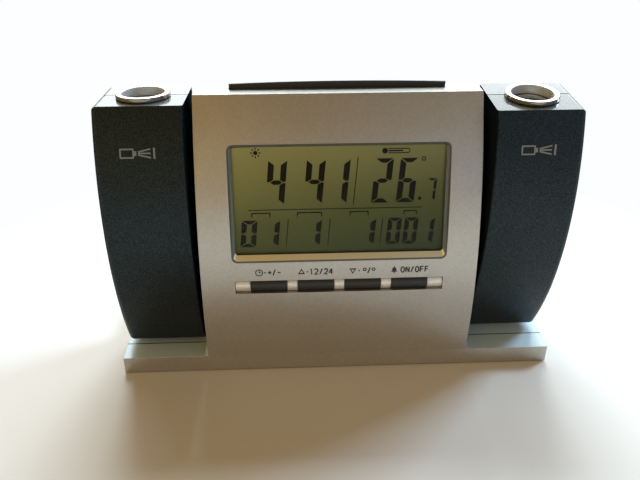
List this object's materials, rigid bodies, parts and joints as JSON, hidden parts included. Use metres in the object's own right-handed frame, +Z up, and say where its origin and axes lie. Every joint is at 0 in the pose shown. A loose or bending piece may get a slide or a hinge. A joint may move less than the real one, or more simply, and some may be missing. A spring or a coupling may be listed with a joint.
{
  "type": "projection alarm clock",
  "caption": "Desk alarm clock with a curved front panel, a digital display, a row of keys, a snooze bar and two swivelling projector pods on a flat base.",
  "frame": {"origin": "on the surface the clock stands on, at the middle of its width and depth", "axes": "+X to the right seen from the front, +Y to the back, +Z up; the display faces -Y"},
  "size_m": [0.16, 0.0508, 0.1053],
  "materials": {
    "silver": "satin silver lacquer on moulded plastic",
    "charcoal": "fine-textured charcoal plastic",
    "key_black": "smooth black plastic",
    "black_plastic": "moulded",
    "grey_plastic": "satin grey",
    "chrome": "polished plated collar",
    "window": "clear acrylic",
    "lcd": "olive reflective display glass",
    "lens": "clear lens",
    "lamp": "domed lamp",
    "white_plastic": "natural plastic",
    "elastomer": "contact strip",
    "rubber": "matt",
    "board": "solder mask",
    "resin": "black resin",
    "steel": "zinc plated",
    "cell_can": "plain sleeve",
    "contact": "plated spring strip",
    "lead": "insulated wire",
    "fibre": "fibre friction washer"
  },
  "bodies": {
    "case": {"front_cover": "silver", "rear_cover": "silver", "base_plate": "black_plastic", "feet": "rubber", "base_screws": "steel", "case_screws": "steel", "display_bezel": "grey_plastic", "display_window": "window", "lcd_glass": "lcd", "light_guide": "white_plastic", "contact_strips": "elastomer", "main_board": "board", "clock_chip": "resin", "board_screws": "steel", "key_strip": "silver", "key_board": "board", "tact_switches": "resin", "key_ribbon": "white_plastic", "snooze_board": "board", "sounder": "resin", "cells": "cell_can", "cell_contacts": "contact", "pivot_bushes": "white_plastic", "case_leads": "lead"},
    "left_pod": {"left_pod_front": "charcoal", "left_pod_rear": "charcoal", "left_projector_tube": "black_plastic", "left_image_plate": "lcd", "left_lamp_housing": "black_plastic", "left_lamp": "lamp", "left_lamp_board": "board", "left_pivot_hub": "grey_plastic", "left_hub_nut": "steel", "left_washer": "fibre", "left_pod_screws": "steel", "left_pod_lead": "lead"},
    "left_ring": {"left_focus_ring": "chrome"},
    "left_focus": {"left_lens_barrel": "black_plastic", "left_lens": "lens"},
    "right_pod": {"right_pod_front": "charcoal", "right_pod_rear": "charcoal", "right_projector_tube": "black_plastic", "right_image_plate": "lcd", "right_lamp_housing": "black_plastic", "right_lamp": "lamp", "right_lamp_board": "board", "right_pivot_hub": "grey_plastic", "right_hub_nut": "steel", "right_washer": "fibre", "right_pod_screws": "steel", "right_pod_lead": "lead"},
    "right_ring": {"right_focus_ring": "chrome"},
    "right_focus": {"right_lens_barrel": "black_plastic", "right_lens": "lens"},
    "time_key": {"key_time": "key_black"},
    "up_key": {"key_up": "key_black"},
    "down_key": {"key_down": "key_black"},
    "alarm_key": {"key_alarm": "key_black"},
    "snooze": {"snooze_bar": "key_black"},
    "door": {"battery_door": "silver"}
  },
  "joints": [
    {"name": "left_pod_tilt", "type": "hinge", "parent": "case", "child": "left_pod", "pos_m": [-0.0478, -0.00262, 0.0554], "axis": [1, 0, 0], "range_deg": [-88.3, 91.7]},
    {"name": "left_ring_turn", "type": "hinge", "parent": "left_pod", "child": "left_ring", "pos_m": [-0.0641, -0.00502, 0.05547], "axis": [0, 0.0297, 0.9996], "range_deg": [-120, 120]},
    {"name": "left_lens_focus", "type": "slide", "parent": "left_pod", "child": "left_focus", "axis": [0, 0.0297, 0.9996], "range_m": [-0.0009, 0.0009]},
    {"name": "right_pod_tilt", "type": "hinge", "parent": "case", "child": "right_pod", "pos_m": [0.0478, -0.00262, 0.0554], "axis": [1, 0, 0], "range_deg": [-94.6, 85.4]},
    {"name": "right_ring_turn", "type": "hinge", "parent": "right_pod", "child": "right_ring", "pos_m": [0.0641, -0.00501, 0.05521], "axis": [0, -0.0802, 0.9968], "range_deg": [-120, 120]},
    {"name": "right_lens_focus", "type": "slide", "parent": "right_pod", "child": "right_focus", "axis": [0, -0.0802, 0.9968], "range_m": [-0.0009, 0.0009]},
    {"name": "time_key_press", "type": "slide", "parent": "case", "child": "time_key", "axis": [0, 1, 0], "range_m": [0, 0.0006], "stiffness_N_per_m": 800, "springref_m": -0.0005},
    {"name": "up_key_press", "type": "slide", "parent": "case", "child": "up_key", "axis": [0, 1, 0], "range_m": [0, 0.0006], "stiffness_N_per_m": 800, "springref_m": -0.0005},
    {"name": "down_key_press", "type": "slide", "parent": "case", "child": "down_key", "axis": [0, 1, 0], "range_m": [0, 0.0006], "stiffness_N_per_m": 800, "springref_m": -0.0005},
    {"name": "alarm_key_press", "type": "slide", "parent": "case", "child": "alarm_key", "axis": [0, 1, 0], "range_m": [0, 0.0006], "stiffness_N_per_m": 800, "springref_m": -0.0005},
    {"name": "snooze_press", "type": "slide", "parent": "case", "child": "snooze", "axis": [0, 0, -1], "range_m": [0, 0.001], "stiffness_N_per_m": 600, "springref_m": -0.001},
    {"name": "door_swing", "type": "hinge", "parent": "case", "child": "door", "pos_m": [0, 0.01898, 0.0108], "axis": [-1, 0, 0], "range_deg": [0, 90]}
  ],
  "couplings": [
    {"joint": "left_lens_focus", "follows": "left_ring_turn", "m_per_rad": 0.000429},
    {"joint": "right_lens_focus", "follows": "right_ring_turn", "m_per_rad": 0.000429}
  ]
}
